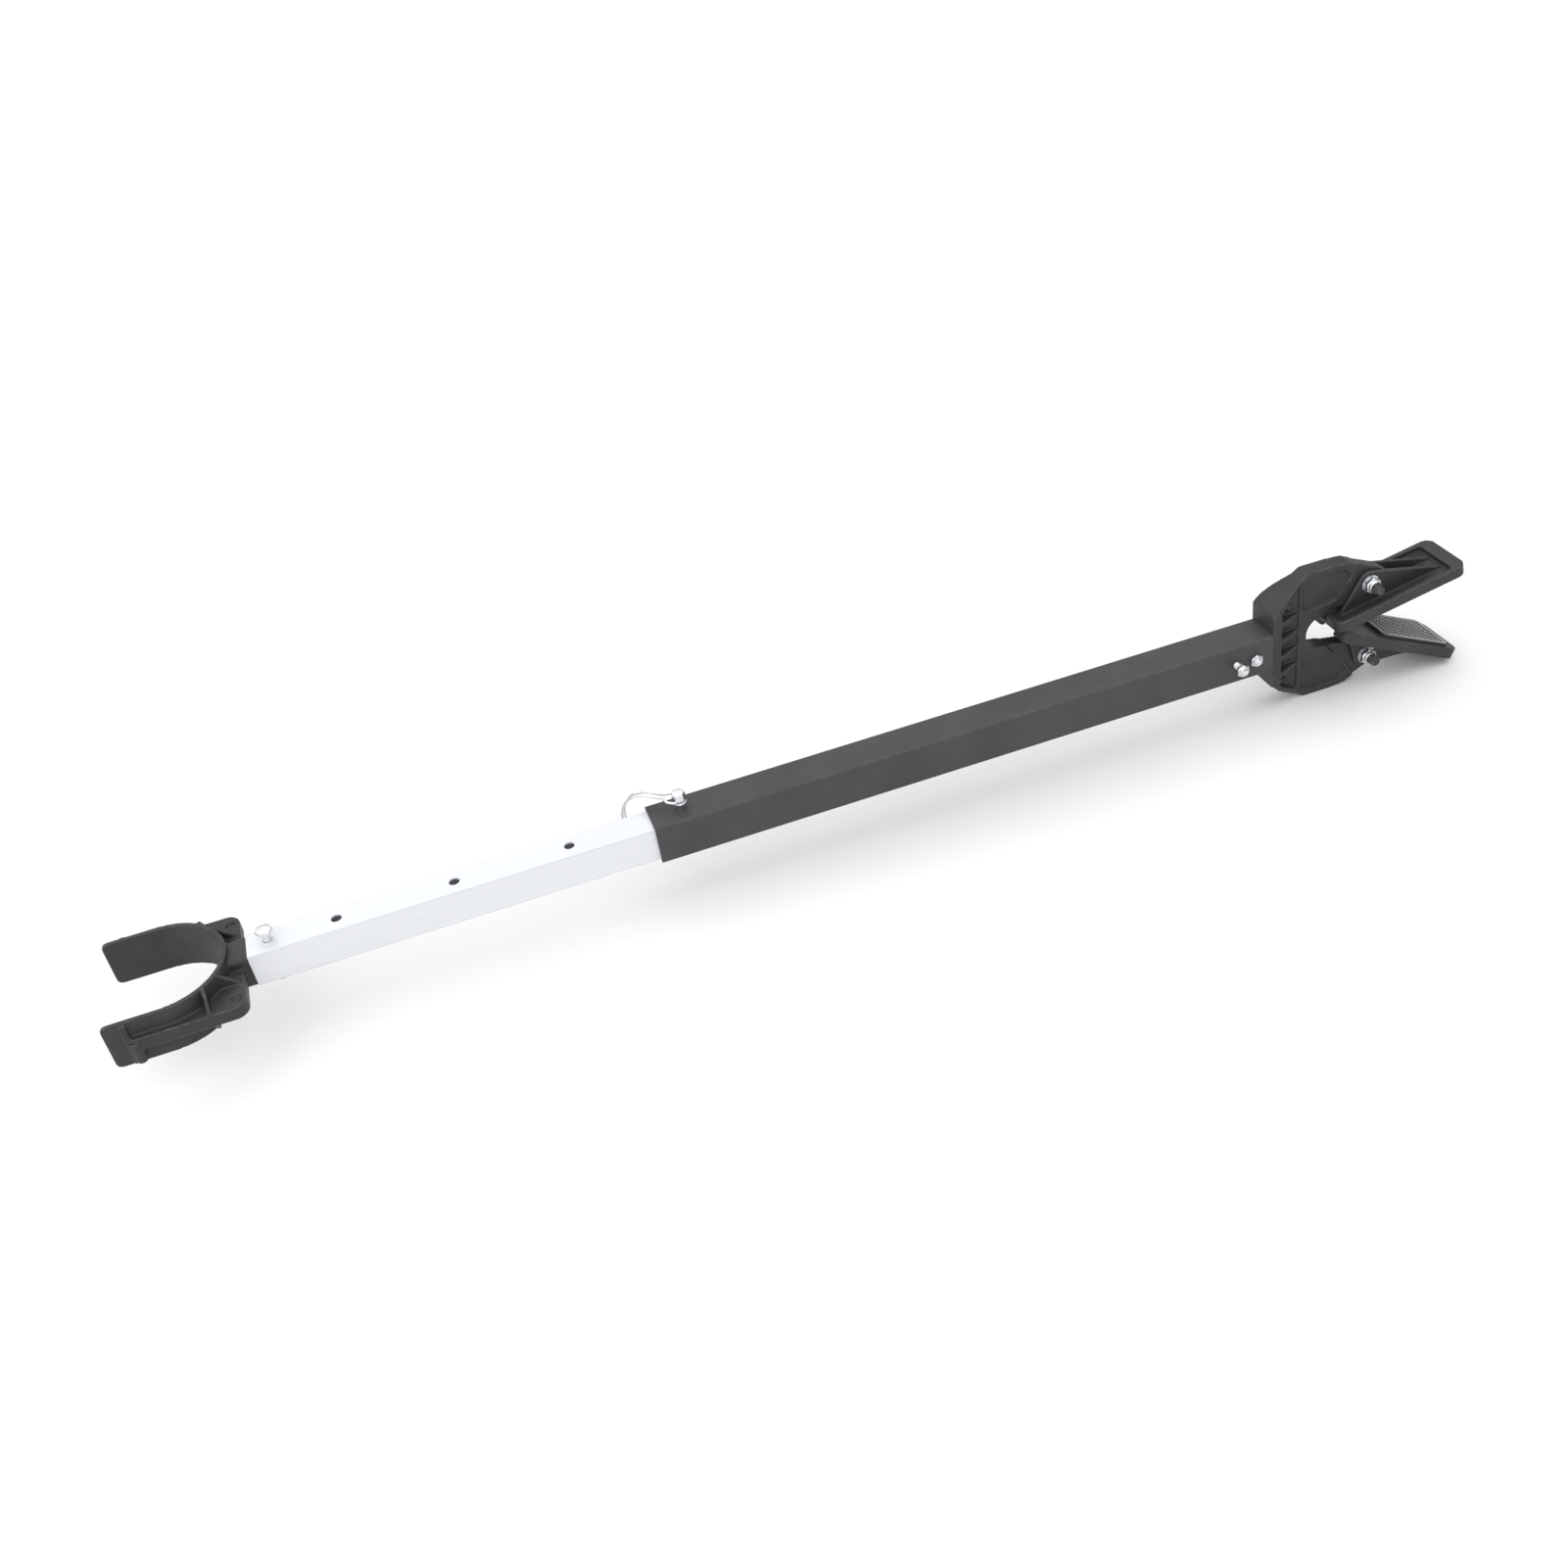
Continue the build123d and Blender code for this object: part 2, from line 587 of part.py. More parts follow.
# ================= lock pin and its wire bail =================
pin_radius = pin_diameter / 2
wire_radius = wire_diameter / 2
head_radius = pin_head_diameter / 2
with BuildPart() as lock_pin:
    # head, neck and the upper end of the shank down to the inner tube's top face
    with BuildSketch(Plane.XZ):
        with BuildLine():
            Polyline((pin_x, inner_half + slide_gap), (pin_x + pin_radius, inner_half + slide_gap),
                     (pin_x + pin_radius, pin_head_base - pin_neck_height), (pin_x + head_radius, pin_head_base),
                     (pin_x + head_radius, pin_head_base + pin_head_height - 1),
                     (pin_x + head_radius - 1, pin_head_base + pin_head_height),
                     (pin_x, pin_head_base + pin_head_height), close=True)
        make_face()
    revolve(axis=Axis((pin_x, 0, 0), (0, 0, 1)))
    # the lower end of the shank, from the inner tube's bottom face to the pointed tip
    with BuildSketch(Plane.XZ):
        with BuildLine():
            Polyline((pin_x, -inner_half - slide_gap), (pin_x + pin_radius, -inner_half - slide_gap),
                     (pin_x + pin_radius, 2 - pin_tip_depth), (pin_x + pin_radius - 2, -pin_tip_depth),
                     (pin_x, -pin_tip_depth), close=True)
        make_face()
    revolve(axis=Axis((pin_x, 0, 0), (0, 0, 1)))
    hinge_dir = (sin(radians(bail_angle)), cos(radians(bail_angle)), 0)
    with BuildSketch(Plane(origin=(pin_x, 0, bail_hinge_height), z_dir=hinge_dir)):
        Circle(wire_radius + 0.1)
    extrude(amount=pin_head_diameter, both=True, mode=Mode.SUBTRACT)
save(lock_pin, "lock_pin")

bail_spread = head_radius + wire_radius + 0.4
out_dir = Vector(-cos(radians(bail_angle)), sin(radians(bail_angle)), 0)
side_dir = Vector(*hinge_dir)


def bail_point(reach, across, height):
    """A point of the bail from its reach out from the pin, its offset across and its height."""
    return Vector(pin_x, 0, height) + out_dir * reach + side_dir * across


bail_top = bail_hinge_height
bail_bottom = bail_hinge_height - bail_drop
bail_bend = bail_drop / 2
bail_far = bail_reach + bail_bend
# one leg from the hinge to the open hook that catches under the tube; the other leg is its mirror
leg = [(0, head_radius / 4, bail_top), (0, bail_spread, bail_top), (bail_straight, bail_spread, bail_top),
       (bail_draw_in, bail_gap / 2, bail_top), (bail_far, bail_gap / 2, bail_top),
       (bail_far, bail_gap / 2, bail_bottom), (bail_hook_reach, bail_gap / 2, bail_bottom)]
tight_bend = wire_radius + 0.1
wide_bend = bail_bend - 0.5
leg_bends = [tight_bend, 2 * wire_diameter, 2 * wire_diameter, wide_bend, wide_bend, bail_gap / 2 - 0.1]
with BuildPart() as lock_bail:
    with BuildLine() as wire:
        corners = [bail_point(reach, -across, height) for reach, across, height in leg]
        corners += [bail_point(reach, across, height) for reach, across, height in reversed(leg)]
        FilletPolyline(*corners, radius=leg_bends + leg_bends[::-1])
    with BuildSketch(Plane(origin=corners[0], z_dir=(corners[1] - corners[0]))):
        Circle(wire_radius)
    sweep()
save(lock_bail, "lock_bail")
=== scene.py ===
import json

import bmesh
import bpy
import numpy as np
from mathutils import Euler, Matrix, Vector


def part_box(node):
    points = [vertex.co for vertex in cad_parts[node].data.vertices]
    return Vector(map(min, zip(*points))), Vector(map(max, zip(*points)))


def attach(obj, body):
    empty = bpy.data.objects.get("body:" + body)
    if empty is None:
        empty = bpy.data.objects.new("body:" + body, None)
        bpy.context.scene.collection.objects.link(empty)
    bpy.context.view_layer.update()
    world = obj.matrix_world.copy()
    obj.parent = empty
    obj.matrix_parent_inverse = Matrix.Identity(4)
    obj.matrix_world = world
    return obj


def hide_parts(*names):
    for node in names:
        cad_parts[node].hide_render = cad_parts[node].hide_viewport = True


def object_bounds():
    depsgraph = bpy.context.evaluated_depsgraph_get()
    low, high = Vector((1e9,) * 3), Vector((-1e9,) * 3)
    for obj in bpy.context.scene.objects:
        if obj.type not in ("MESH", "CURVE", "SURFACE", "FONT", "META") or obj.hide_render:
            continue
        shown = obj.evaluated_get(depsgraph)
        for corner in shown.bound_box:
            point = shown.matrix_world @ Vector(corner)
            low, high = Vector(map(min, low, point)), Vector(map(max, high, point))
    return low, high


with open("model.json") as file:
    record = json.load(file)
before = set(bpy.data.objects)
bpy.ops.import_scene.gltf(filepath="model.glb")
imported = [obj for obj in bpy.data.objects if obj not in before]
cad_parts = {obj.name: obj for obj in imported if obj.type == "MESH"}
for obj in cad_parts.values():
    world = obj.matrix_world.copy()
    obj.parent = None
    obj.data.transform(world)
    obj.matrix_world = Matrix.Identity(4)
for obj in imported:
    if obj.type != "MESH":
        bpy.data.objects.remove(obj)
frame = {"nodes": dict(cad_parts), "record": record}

CAD_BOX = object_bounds()
NODES = frame["nodes"]
MM = 0.001

# ---- finish sizes, in metres ----
MOULD_VOXEL = 0.8 * MM
MOULD_SOFTENING = 4
WIRE_RADIUS = 1.25 * MM
WIRE_GAP = 2.6 * MM
WIRE_STUB = 1.7 * MM
WIRE_STRAIGHT = 6.0 * MM
WIRE_DRAW_IN = 11.0 * MM
BAIL_ANGLE = np.radians(40.0)
BAIL_REACH = 31.0 * MM
HOOK_REACH = 22.0 * MM
PIVOT_HEAD = 6.0 * MM
PIVOT_SHANK = 4.5 * MM      # thinner than the bore, so the softened ears clear it as they swing
PIVOT_BORE = 4.765 * MM
PIVOT_PITCH = 1.59 * MM
JAW_HEAD = 4.3 * MM
JAW_SHANK = 3.175 * MM
JAW_PITCH = 1.27 * MM
SIDE_THREAD = 18.0 * MM
FORK_HEAD = 3.6 * MM
FORK_SHANK = 3.97 * MM
FORK_PITCH = 1.41 * MM
FORK_THREAD = 20.0 * MM
PIN_SHANK = 3.97 * MM
PIN_NECK = 3.5 * MM
PIN_HEAD = 11.0 * MM
PAD_REST = {"upper": np.radians(10.0), "lower": np.radians(25.5)}
PAD_FACE_DROP = 25.0 * MM
GRIP_LENGTH = 81.0 * MM
GRIP_WIDTH = 52.0 * MM
GRIP_TAIL = -3.0 * MM
GRIP_CORNER = 7.0 * MM
GRIP_SEAT = 2.0 * MM
GRIP_PROUD = 3.0 * MM
TREAD_COLUMN = 6.6 * MM
TREAD_ROW = 3.9 * MM
TREAD_DEPTH = 1.1 * MM


# ======================================================================================
# meshes
# ======================================================================================
def grid_faces(rows, columns, wrap_rows=False, wrap_columns=False):
    """Quads of a grid of points counted row by row; a wrapped direction joins its last line to its first."""
    i = np.arange(rows if wrap_rows else rows - 1)[:, None]
    j = np.arange(columns if wrap_columns else columns - 1)[None, :]
    i2 = (i + 1) % rows
    j2 = (j + 1) % columns
    corners = [i * columns + j, i * columns + j2, i2 * columns + j2, i2 * columns + j]
    return np.stack(corners, axis=-1).reshape(-1, 4)


def make_piece(name, points, faces, material, body, slot, replaced=()):
    """A closed mesh from points and quads, which rides on a body and may stand in for CAD nodes. Doubled
    points are merged, faces turned outwards, and edges that turn sharply kept crisp."""
    mesh = bpy.data.meshes.new(name)
    mesh.from_pydata(np.asarray(points).reshape(-1, 3).tolist(), [], np.asarray(faces).tolist())
    work = bmesh.new()
    work.from_mesh(mesh)
    bmesh.ops.remove_doubles(work, verts=work.verts, dist=1e-6)
    bmesh.ops.recalc_face_normals(work, faces=work.faces)
    for face in work.faces:
        face.smooth = True
    for edge in work.edges:
        if len(edge.link_faces) == 2 and edge.calc_face_angle(0.0) > np.radians(22.0):
            edge.smooth = False
    work.to_mesh(mesh)
    work.free()
    piece = bpy.data.objects.new(name, mesh)
    bpy.context.scene.collection.objects.link(piece)
    mesh.materials.append(material)
    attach(piece, body)
    if replaced:
        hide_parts(*replaced)
    return piece


def stand(x, y, z, foot, up):
    """Points given along a piece's own axes, set upright on a foot point with z along the direction up."""
    third = np.array(up, float)
    first = np.array((1.0, 0.0, 0.0))
    second = np.cross(third, first)
    return np.array(foot) + x[..., None] * first + y[..., None] * second + z[..., None] * third


def hexagon_radius(angle, flats, phase):
    """Distance from the axis to a hexagon's side: half the flats over the cosine of the angle from the middle
    of the flat."""
    sector = (angle - phase) % (np.pi / 3) - np.pi / 6
    return flats / 2 / np.cos(sector)


def eased(profile, reach, steps=4):
    """A profile line with each inner corner replaced by a short parabola starting and ending a reach away."""
    profile = np.array(profile, float)
    line = [profile[0]]
    t = np.linspace(0, 1, steps + 1)[:, None]
    for before, corner, after in zip(profile[:-2], profile[1:-1], profile[2:]):
        back = before - corner
        ahead = after - corner
        start = corner + back * min(0.45, reach / max(np.linalg.norm(back), 1e-9))
        end = corner + ahead * min(0.45, reach / max(np.linalg.norm(ahead), 1e-9))
        line.extend((1 - t) ** 2 * start + 2 * t * (1 - t) * corner + t ** 2 * end)
    line.append(profile[-1])
    return np.array(line)


def threaded_rows(top, bottom, radius, pitch, rows_per_turn=10):
    """Heights and radius of the rows that a screw thread needs between two heights."""
    count = int(abs(top - bottom) / pitch * rows_per_turn) + 2
    heights = np.linspace(top, bottom, count)
    return np.stack([heights, np.full(count, radius)], axis=1)


def thread_cut(height, angle, pitch, depth):
    """How far a 60 degree thread cuts in: a clipped triangle wave of the height, less the turn's share of the
    pitch."""
    wave = np.abs(2 * ((height / pitch - angle / (2 * np.pi)) % 1.0) - 1)
    return depth * np.clip(1.25 * wave - 0.12, 0, 1)


def box_centre(node):
    low, high = (np.array(corner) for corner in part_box(node))
    return low, high, (low + high) / 2


def flats_of(low, high, axis):
    """Across-flats size of a hexagon from its box, and the phase that turns its corners as the box shows."""
    sizes = np.delete(high - low, axis)
    phase = 0.0 if sizes[0] > sizes[1] else np.pi / 6
    return sizes.min(), phase


def bolt(node, axis, sign, seat, head_height, shank, pitch, material, body, slot, thread_length):
    """A hexagon bolt as one surface of revolution. On the head its radius is the lesser of the hexagon and a
    chamfer cone, and below it the shank's radius less the thread's cut."""
    low, high, middle = box_centre(node)
    up = np.zeros(3)
    up[axis] = sign
    flats, phase = flats_of(low, high, axis)
    foot = middle.copy()
    foot[axis] = seat
    length = abs((low if sign > 0 else high)[axis] - seat)
    cone = flats * 0.475
    corner = flats / 2 / np.cos(np.pi / 6) * 1.01
    chamfer = (corner - cone) * 0.55
    head = np.array([(head_height, 0), (head_height, cone * 0.5), (head_height, cone - 0.25 * MM),
                     (head_height - 0.08 * MM, cone), (head_height - chamfer / 2, (cone + corner) / 2),
                     (head_height - chamfer, corner), (0.5 * MM, corner), (0.15 * MM, corner - 0.1 * MM),
                     (0, corner - 0.45 * MM), (0, shank), (-0.2 * MM, shank)])
    thread = threaded_rows(thread_length - length, 0.9 * MM - length, shank, pitch)
    tip = np.array([(0.45 * MM - length, shank - 0.45 * MM), (-length, shank - 0.95 * MM), (-length, 0)])
    rows = np.concatenate([head, thread, tip])
    angle = np.linspace(0, 2 * np.pi, 72, endpoint=False)[None, :]
    height = rows[:, :1] + 0 * angle
    radius = rows[:, 1:] + 0 * angle
    on_head = (np.arange(len(rows)) < 9)[:, None]
    radius = np.where(on_head, np.minimum(radius, hexagon_radius(angle, flats, phase)), radius)
    in_thread = ((np.arange(len(rows)) >= 11) & (np.arange(len(rows)) < len(rows) - 2))[:, None]
    radius = radius - np.where(in_thread, thread_cut(height, angle, pitch, 0.6 * pitch), 0)
    points = stand(radius * np.cos(angle), radius * np.sin(angle), height, foot, up)
    faces = grid_faces(len(rows), angle.size, wrap_columns=True)
    return make_piece(node + "_threaded", points, faces, material, body, slot, [node])


def nut(node, axis, sign, bore, material, body, slot, collar=0.30):
    """A lock nut: a hexagon with chamfered corners below and a rounded collar above, turned about its bore as
    one closed ring of rows."""
    low, high, middle = box_centre(node)
    up = np.zeros(3)
    up[axis] = sign
    foot = middle.copy()
    foot[axis] = (low if sign > 0 else high)[axis]
    height = (high - low)[axis]
    flats, phase = flats_of(low, high, axis)
    corner = flats / 2 / np.cos(np.pi / 6) * 1.01
    top = height * (1 - collar)
    lip = 0.5 * (corner - flats / 2 * 0.94)
    outer = [(0, bore + 0.3 * MM), (0, flats * 0.46), (lip, corner), (top - lip, corner), (top, flats * 0.47)]
    dome = [(top + 0.02 * MM, flats * 0.435), (height - 0.25 * (height - top), flats * 0.42),
            (height, flats * 0.37), (height, bore + 0.35 * MM), (height - 0.4 * MM, bore), (0.3 * MM, bore)]
    rows = np.concatenate([outer, eased(dome, 0.5 * MM)])
    angle = np.linspace(0, 2 * np.pi, 72, endpoint=False)[None, :]
    radius = rows[:, 1:] + 0 * angle
    on_hexagon = (np.arange(len(rows)) < 5)[:, None]
    radius = np.where(on_hexagon, np.minimum(radius, hexagon_radius(angle, flats, phase)), radius)
    points = stand(radius * np.cos(angle), radius * np.sin(angle), rows[:, :1] + 0 * angle, foot, up)
    faces = grid_faces(len(rows), angle.size, wrap_rows=True, wrap_columns=True)
    return make_piece(node + "_locking", points, faces, material, body, slot, [node])


def lock_pin(material):
    """The pin in one piece: a six-sided head with a flat top that tapers to a collar, then the neck, the
    shank and the bevelled tip. The head's radius is the lesser of its lathe profile and the hexagon."""
    low, high, middle = box_centre("lock_pin")
    shank = PIN_SHANK
    head = (high - low)[0] / 2
    base = high[2] - PIN_HEAD
    profile = [(high[2], 0), (high[2], head * 0.80), (high[2] - 0.9 * MM, head * 0.93),
               (base + 3.6 * MM, head), (base + 1.2 * MM, head * 0.84),
               (base + 1.0 * MM, head * 0.98), (base - 0.2 * MM, head * 0.98),
               (base - 0.6 * MM, shank + 1.0 * MM), (base - PIN_NECK, shank + 0.5 * MM),
               (base - PIN_NECK - 0.6 * MM, shank), (low[2] + 2.4 * MM, shank),
               (low[2] + 0.4 * MM, shank - 1.9 * MM), (low[2], 0)]
    rows = eased(profile, 0.3 * MM)
    angle = np.linspace(0, 2 * np.pi, 72, endpoint=False)[None, :]
    radius = rows[:, 1:] + 0 * angle
    on_head = rows[:, :1] > base + 1.1 * MM
    radius = np.where(on_head, np.minimum(radius, hexagon_radius(angle, 1.76 * head, 0.0)), radius)
    points = np.stack([middle[0] + radius * np.cos(angle), middle[1] + radius * np.sin(angle),
                       rows[:, :1] + 0 * angle], axis=-1)
    faces = grid_faces(len(rows), angle.size, wrap_columns=True)
    return make_piece("lock_pin_turned", points, faces, material, "pin", "zinc_steel", ["lock_pin"])


def smooth_step(t):
    t = np.clip(t, 0, 1)
    return t * t * (3 - 2 * t)


def bail_line():
    """The wire's centre line. Each leg leaves the head sideways, turns out, draws in to half the gap, follows
    a half circle round the tube's edge and comes back under it, where the two legs meet in a round hook."""
    low, high = box_centre("lock_bail")[:2]
    pin_low, pin_high, pin_middle = box_centre("lock_pin")
    top = high[2] - WIRE_RADIUS
    bottom = low[2] + WIRE_RADIUS
    bend = (top - bottom) / 2
    wide = (pin_high - pin_low)[0] / 2 + WIRE_RADIUS + 0.4 * MM
    stub = np.linspace(0, np.pi / 2, 8)
    out_reach = np.linspace(WIRE_STUB, BAIL_REACH, 40)[1:-1]
    out_across = WIRE_GAP + (wide - WIRE_GAP) * (1 - smooth_step((out_reach - WIRE_STRAIGHT) / WIRE_DRAW_IN))
    turn = np.linspace(np.pi / 2, -np.pi / 2, 48)
    back_reach = np.linspace(BAIL_REACH, HOOK_REACH + WIRE_GAP, 8)[1:-1]
    hook = np.linspace(0, np.pi / 2, 10)
    leg_reach = np.concatenate([[0.0], WIRE_STUB * (1 - np.cos(stub)), out_reach,
                                BAIL_REACH + bend * np.cos(turn), back_reach,
                                HOOK_REACH + WIRE_GAP * (1 - np.sin(hook))])
    leg_across = np.concatenate([[1.5 * MM], wide - WIRE_STUB * (1 - np.sin(stub)), out_across,
                                 np.full(turn.size + back_reach.size, WIRE_GAP), WIRE_GAP * np.cos(hook)])
    leg_height = np.concatenate([np.full(1 + stub.size + out_reach.size, top),
                                 (top + bottom) / 2 + bend * np.sin(turn),
                                 np.full(back_reach.size + hook.size, bottom)])
    reach = np.concatenate([leg_reach, leg_reach[-2::-1]])
    across = np.concatenate([leg_across, -leg_across[-2::-1]])
    height = np.concatenate([leg_height, leg_height[-2::-1]])
    out = np.array((-np.cos(BAIL_ANGLE), np.sin(BAIL_ANGLE), 0))
    side = np.array((np.sin(BAIL_ANGLE), np.cos(BAIL_ANGLE), 0))
    line = pin_middle * (1, 1, 0) + reach[:, None] * out + across[:, None] * side
    line[:, 2] = height
    return line


def wire_tube(line, radius, around=14):
    """A round section carried along a line: at each station the section's first direction is the one before,
    less its part along the new tangent, so the tube doesn't twist. Each end closes on its centre."""
    tangent = np.gradient(line, axis=0)
    tangent /= np.linalg.norm(tangent, axis=1)[:, None]
    first = np.cross(tangent[0], (0, 0, 1.0))
    sections = []
    for direction in tangent:
        first = first - direction * first.dot(direction)
        first = first / np.linalg.norm(first)
        sections.append((first, np.cross(direction, first)))
    sections = np.array(sections)
    angle = np.linspace(0, 2 * np.pi, around, endpoint=False)
    ring = (np.cos(angle)[None, :, None] * sections[:, None, 0]
            + np.sin(angle)[None, :, None] * sections[:, None, 1])
    body = line[:, None] + radius * ring
    start = np.repeat(line[:1, None], around, axis=1)
    end = np.repeat(line[-1:, None], around, axis=1)
    points = np.concatenate([start, body, end])
    return points, grid_faces(len(points), around, wrap_columns=True)


def rounded_plan(half_length, half_width, corner, columns, rows):
    """A grid over a rounded rectangle: inside each corner square, both shares are drawn in by the elliptic
    mapping p * sqrt(1 - q * q / 2), which carries the square's edge on to the quarter circle."""
    s, t = np.meshgrid(np.linspace(-1, 1, columns), np.linspace(-1, 1, rows), indexing="ij")
    x, y = s * half_length, t * half_width
    p = np.clip((np.abs(x) - half_length + corner) / corner, 0, 1)
    q = np.clip((np.abs(y) - half_width + corner) / corner, 0, 1)
    in_corner = (p > 0) & (q > 0)
    x = np.where(in_corner, np.sign(x) * (half_length - corner + corner * p * np.sqrt(1 - q * q / 2)), x)
    y = np.where(in_corner, np.sign(y) * (half_width - corner + corner * q * np.sqrt(1 - p * p / 2)), y)
    return x, y


def edge_distance(x, y, half_length, half_width, corner):
    """Distance inwards from a rounded rectangle's edge."""
    dx = np.abs(x) - half_length + corner
    dy = np.abs(y) - half_width + corner
    outside = np.hypot(np.maximum(dx, 0), np.maximum(dy, 0))
    return corner - outside - np.minimum(np.maximum(dx, dy), 0)


def tread_height(x, y, inset):
    """The tread's relief: columns of short bars, each a smooth box in its column and row, in a plain rim."""
    column = (x / TREAD_COLUMN) % 1.0
    row = (y / TREAD_ROW) % 1.0
    across = smooth_step((0.5 - np.abs(column - 0.5) - 0.10) / 0.07)
    along = smooth_step((0.5 - np.abs(row - 0.5) - 0.14) / 0.14)
    field = smooth_step((inset - 3.0 * MM) / (0.8 * MM))
    return -TREAD_DEPTH * field * (1 - across * along)


def grip(level, side):
    """The rubber insert: a rounded plan raised to its face, its rim eased by a quarter circle, with the
    tread's relief on the gripping face and a flat back in the pad's recess."""
    turn = PAD_REST[level]
    pivot = box_centre(level + "_pivot_bolt")[2]
    along = np.array((np.cos(turn), 0, side * np.sin(turn)))
    outwards = np.array((-np.sin(turn), 0, side * np.cos(turn)))
    columns, rows = 176, 116
    half_length, half_width = GRIP_LENGTH / 2, GRIP_WIDTH / 2
    x, y = rounded_plan(half_length, half_width, GRIP_CORNER, columns, rows)
    inset = edge_distance(x, y, half_length, half_width, GRIP_CORNER)
    ease = 1.3 * MM
    fall = ease - np.sqrt(np.clip(ease ** 2 - np.clip(ease - inset, 0, ease) ** 2, 0, None))
    face = GRIP_PROUD + tread_height(x, y, inset) - fall
    back = np.full_like(face, -GRIP_SEAT)
    origin = np.array((pivot[0], 0, pivot[2])) - outwards * PAD_FACE_DROP
    middle = GRIP_TAIL + half_length

    def placed(height):
        return origin + (x + middle)[..., None] * along + y[..., None] * np.array((0, 1.0, 0)) \
            - height[..., None] * outwards

    count = columns * rows
    points = np.concatenate([placed(face).reshape(-1, 3), placed(back).reshape(-1, 3)])
    # face level and depth below which the material paints shade into the tread's grooves
    groove_shading = (origin - outwards * GRIP_PROUD, -outwards, TREAD_DEPTH)
    material = moulded(level + "_grip_rubber", linear(150, 150, 151), linear(162, 162, 163),
                       linear(176, 176, 177), 0.74, 3000.0, 0.05 * MM, groove_shading=groove_shading)
    faces = grid_faces(columns, rows)
    number = np.arange(count).reshape(columns, rows)
    rim = np.concatenate([number[:-1, 0], number[-1, :-1], number[:0:-1, -1], number[0, :0:-1]])
    wall = np.stack([rim, np.roll(rim, -1), np.roll(rim, -1) + count, rim + count], axis=1)
    faces = np.concatenate([faces, faces[:, ::-1] + count, wall])
    return make_piece(level + "_grip_tread", points, faces, material, level + "_jaw_pad", "grip_rubber",
                      [level + "_grip"])


def soften(node, voxel=MOULD_VOXEL, repeats=MOULD_SOFTENING):
    """Moulded edges on a CAD node: welded, remeshed finely and relaxed, so corners and roots become round."""
    weld = NODES[node].modifiers.new("joined", "WELD")
    weld.merge_threshold = 1e-5
    remesh = NODES[node].modifiers.new("fine", "REMESH")
    remesh.mode = "VOXEL"
    remesh.voxel_size = voxel
    remesh.use_smooth_shade = True
    relax = NODES[node].modifiers.new("eased", "SMOOTH")
    relax.factor = 0.5
    relax.iterations = repeats


# ======================================================================================
# shader groups: each puts out masks, heights and shades only
# ======================================================================================
def new_group(name, inputs, outputs):
    """A shader group with named sockets; its inputs are given as (name, kind, default)."""
    tree = bpy.data.node_groups.new(name, "ShaderNodeTree")
    for label, kind, default in inputs:
        socket = tree.interface.new_socket(label, in_out="INPUT", socket_type=kind)
        if default is not None:
            socket.default_value = default
    for label in outputs:
        tree.interface.new_socket(label, in_out="OUTPUT", socket_type="NodeSocketFloat")
    return tree, tree.nodes.new("NodeGroupInput"), tree.nodes.new("NodeGroupOutput")


def put(tree, kind, links=(), **values):
    """A node with its settings, fed by the given (input, socket) pairs or constants."""
    node = tree.nodes.new(kind)
    for label, value in values.items():
        setattr(node, label, value)
    for label, source in links:
        if isinstance(source, bpy.types.NodeSocket):
            tree.links.new(source, node.inputs[label])
        else:
            node.inputs[label].default_value = source
    return node


def maths(tree, operation, a, b=0.0, clamp=False):
    return put(tree, "ShaderNodeMath", [(0, a), (1, b)], operation=operation, use_clamp=clamp).outputs[0]


def ramp(tree, source, start, end, low=0.0, high=1.0):
    """A smooth change from low to high as the source goes from start to end."""
    limits = [("Value", source), ("From Min", start), ("From Max", end), ("To Min", low), ("To Max", high)]
    node = put(tree, "ShaderNodeMapRange", limits, interpolation_type="SMOOTHSTEP")
    return node.outputs["Result"]


def noise(tree, vector, scale, detail=3.0, rough=0.55):
    return put(tree, "ShaderNodeTexNoise", [("Vector", vector), ("Scale", scale), ("Detail", detail),
                                            ("Roughness", rough)]).outputs["Fac"]


def build_grain():
    """Moulding grain: fine cells and fine noise for the height, and a slow cloud for the shade."""
    inputs = [("Vector", "NodeSocketVector", None), ("Scale", "NodeSocketFloat", 2600.0)]
    tree, into, out = new_group("surface_grain", inputs, ["Height", "Shade", "Speck"])
    vector = into.outputs["Vector"]
    cells = put(tree, "ShaderNodeTexVoronoi", [("Vector", vector), ("Scale", into.outputs["Scale"])])
    fine = noise(tree, vector, into.outputs["Scale"], 4.0, 0.6)
    height = maths(tree, "ADD", maths(tree, "MULTIPLY", cells.outputs["Distance"], 0.5), fine)
    cloud = noise(tree, vector, 26.0, 4.0)
    speck = ramp(tree, noise(tree, vector, 900.0, 2.0, 0.5), 0.66, 0.74)
    tree.links.new(height, out.inputs["Height"])
    tree.links.new(ramp(tree, cloud, 0.32, 0.68), out.inputs["Shade"])
    tree.links.new(speck, out.inputs["Speck"])
    return tree


def build_edge_wear_and_highlight():
    """Wear and painted highlight on outward edges: the surface's pointiness, broken up by noise."""
    tree, into, out = new_group("edge_wear_and_highlight", [("Vector", "NodeSocketVector", None),
                                              ("Start", "NodeSocketFloat", 0.53),
                                              ("End", "NodeSocketFloat", 0.60)], ["Mask"])
    point = tree.nodes.new("ShaderNodeNewGeometry").outputs["Pointiness"]
    uneven = maths(tree, "SUBTRACT", noise(tree, into.outputs["Vector"], 180.0), 0.5)
    rough_edge = maths(tree, "MULTIPLY", uneven, 0.06)
    mask = ramp(tree, maths(tree, "ADD", point, rough_edge), into.outputs["Start"], into.outputs["End"])
    tree.links.new(mask, out.inputs["Mask"])
    return tree


